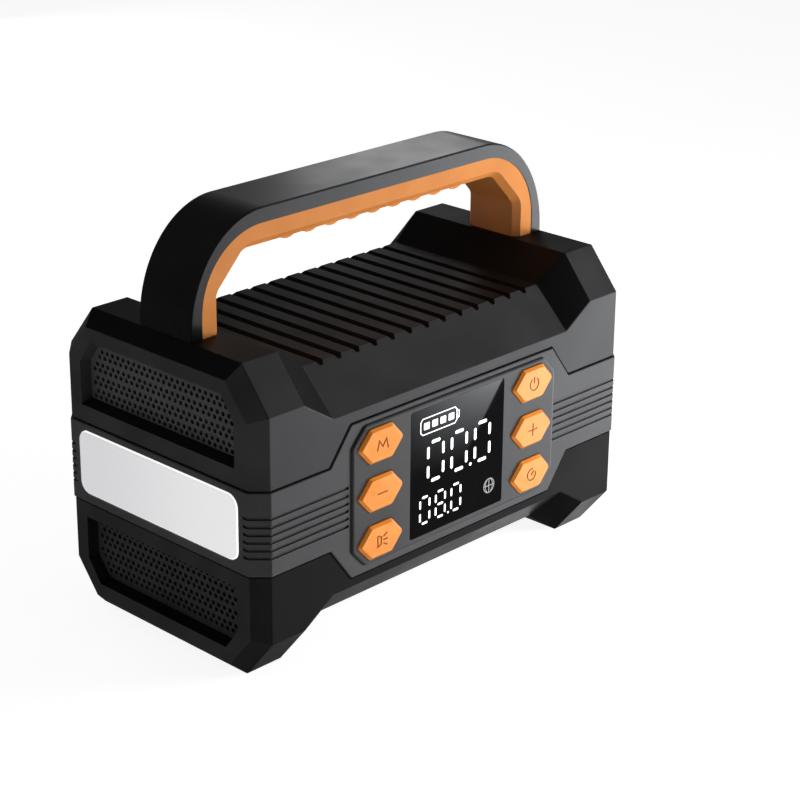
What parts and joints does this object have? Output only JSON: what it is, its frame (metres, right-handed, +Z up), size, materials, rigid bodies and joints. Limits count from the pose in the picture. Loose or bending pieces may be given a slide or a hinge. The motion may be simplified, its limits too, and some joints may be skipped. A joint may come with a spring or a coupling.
{
  "type": "portable jump starter",
  "caption": "Portable vehicle jump starter with built-in tyre inflator, display, push buttons, end work lamp, covered sockets and a fixed arched carrying handle.",
  "frame": {"origin": "on the floor, under the middle of the overall box", "axes": "+X along the pack from the lamp end to the socket end, -Y out of the display, +Z up"},
  "size_m": [0.222, 0.1238, 0.1794],
  "materials": {
    "aluminium": "die cast and machined",
    "band_grey": "satin moulded, dark grey",
    "board_green": "solder mask",
    "board_white": "white coated aluminium board",
    "brass": "machined",
    "button_orange": "semi-gloss moulded",
    "cell_foil": "laminated pouch foil",
    "copper_steel": "laminations with copper windings",
    "display_dark": "black potted display block",
    "fan_black": "moulded",
    "gear_steel": "sintered",
    "grille_black": "matte perforated",
    "grip_orange": "soft moulded grip",
    "handle_black": "satin moulded, soft edges",
    "keypad_rubber": "silicone",
    "lamp_white": "frosted diffuser",
    "lead_black": "silicone insulation",
    "lead_red": "silicone insulation",
    "led_yellow": "phosphor",
    "magnet_grey": "sintered ferrite",
    "pad_rubber": "matte rubber",
    "panel_grey": "semi-gloss moulded",
    "pipe_blue": "polyurethane pipe",
    "port_nickel": "nickel plated",
    "shell_black": "satin moulded, near black",
    "socket_blue": "moulded",
    "steel": "turned",
    "tray_black": "moulded",
    "window_black": "polished, smoked"
  },
  "bodies": {
    "root": {"air_outlet": "brass", "air_pipe": "pipe_blue", "battery_cell_1": "cell_foil", "battery_cell_2": "cell_foil", "battery_cell_3": "cell_foil", "battery_cell_4": "cell_foil", "battery_tray": "tray_black", "board_screws": "steel", "case_screws": "steel", "control_board": "board_green", "control_plate": "panel_grey", "crank_axle": "steel", "cylinder": "aluminium", "cylinder_head": "aluminium", "display_glass": "window_black", "display_module": "display_dark", "door_pin": "steel", "foot_pads": "pad_rubber", "gear_frame": "aluminium", "grille_lower_left": "grille_black", "grille_lower_right": "grille_black", "grille_upper_left": "grille_black", "grille_upper_right": "grille_black", "handle_cover": "handle_black", "handle_grip": "grip_orange", "handle_screws": "steel", "heat_sink": "aluminium", "jump_contacts": "brass", "jump_socket": "socket_blue", "keypad_mat": "keypad_rubber", "lamp_board": "board_white", "lamp_leds": "led_yellow", "lamp_lens": "lamp_white", "lead_negative": "lead_black", "lead_positive": "lead_red", "lower_shell": "shell_black", "main_board": "board_green", "middle_band": "band_grey", "motor_can": "steel", "motor_cap": "tray_black", "motor_magnets": "magnet_grey", "port_plate": "panel_grey", "pump_screws": "steel", "upper_shell": "shell_black", "usb_a_ports": "port_nickel", "usb_c_port": "port_nickel"},
    "door": {"port_door": "band_grey"},
    "rotor": {"motor_shaft": "steel", "motor_armature": "copper_steel", "cooling_fan": "fan_black", "pinion_gear": "brass"},
    "crank": {"crank_gear": "gear_steel"},
    "piston": {"piston_rod": "aluminium"},
    "key_mode": {"button_mode": "button_orange"},
    "key_minus": {"button_minus": "button_orange"},
    "key_light": {"button_light": "button_orange"},
    "key_power": {"button_power": "button_orange"},
    "key_plus": {"button_plus": "button_orange"},
    "key_air": {"button_air": "button_orange"}
  },
  "joints": [
    {"name": "press_mode", "type": "slide", "parent": "root", "child": "key_mode", "axis": [0, 1, 0], "range_m": [0, 0.0012], "stiffness_N_per_m": 700, "springref_m": -0.0003},
    {"name": "press_minus", "type": "slide", "parent": "root", "child": "key_minus", "axis": [0, 1, 0], "range_m": [0, 0.0012], "stiffness_N_per_m": 700, "springref_m": -0.0003},
    {"name": "press_light", "type": "slide", "parent": "root", "child": "key_light", "axis": [0, 1, 0], "range_m": [0, 0.0012], "stiffness_N_per_m": 700, "springref_m": -0.0003},
    {"name": "press_power", "type": "slide", "parent": "root", "child": "key_power", "axis": [0, 1, 0], "range_m": [0, 0.0012], "stiffness_N_per_m": 700, "springref_m": -0.0003},
    {"name": "press_plus", "type": "slide", "parent": "root", "child": "key_plus", "axis": [0, 1, 0], "range_m": [0, 0.0012], "stiffness_N_per_m": 700, "springref_m": -0.0003},
    {"name": "press_air", "type": "slide", "parent": "root", "child": "key_air", "axis": [0, 1, 0], "range_m": [0, 0.0012], "stiffness_N_per_m": 700, "springref_m": -0.0003},
    {"name": "door_hinge", "type": "hinge", "parent": "root", "child": "door", "pos_m": [0.109, 0.00095, 0.0549], "axis": [0, 1, 0], "range_deg": [0, 90]},
    {"name": "rotor_spin", "type": "hinge", "parent": "root", "child": "rotor", "pos_m": [-0.008, -0.02105, 0.0346], "axis": [1, 0, 0], "continuous": true},
    {"name": "crank_spin", "type": "hinge", "parent": "root", "child": "crank", "pos_m": [-0.003, -0.02105, 0.0598], "axis": [1, 0, 0], "continuous": true},
    {"name": "piston_slide", "type": "slide", "parent": "root", "child": "piston", "axis": [0, 0, 1], "range_m": [-0.014, 0]}
  ],
  "couplings": [
    {"joint": "crank_spin", "follows": "rotor_spin", "ratio": -0.33333}
  ]
}
